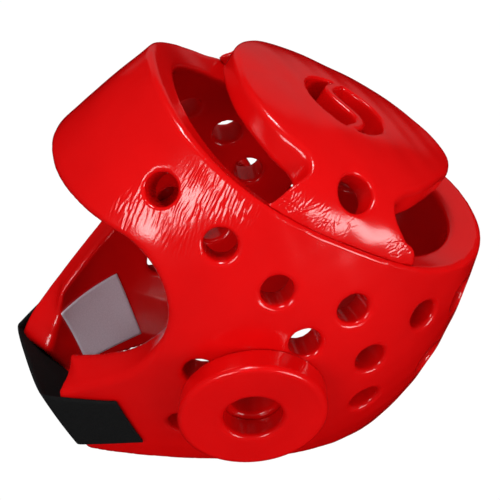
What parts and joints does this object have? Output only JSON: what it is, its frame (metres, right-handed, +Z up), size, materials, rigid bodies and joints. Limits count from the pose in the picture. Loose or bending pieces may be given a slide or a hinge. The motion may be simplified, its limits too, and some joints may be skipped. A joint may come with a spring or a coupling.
{
  "type": "foam head guard",
  "caption": "Open-faced dipped-foam head guard for sparring, with round vents, a bridged crown pad, raised ear rings and a hook-and-loop chin strap.",
  "frame": {"origin": "centre of the bounding box on the surface that the flat lower rim rests on", "axes": "-Y to the front (the face opening), +X to the wearer's left, +Z up; the guard stands on its rim with the brow tipped back by 30 degrees"},
  "size_m": [0.2368, 0.276, 0.2246],
  "materials": {
    "red_foam": "glossy dipped vinyl skin over closed-cell foam",
    "black_strap": "matte woven hook-and-loop tape",
    "label": "blank matte woven patch"
  },
  "bodies": {
    "root": {"head_shell": "red_foam", "crown_pad": "red_foam", "ear_ring_left": "red_foam", "ear_ring_right": "red_foam", "chin_strap": "black_strap", "label_patch": "label"}
  },
  "joints": []
}
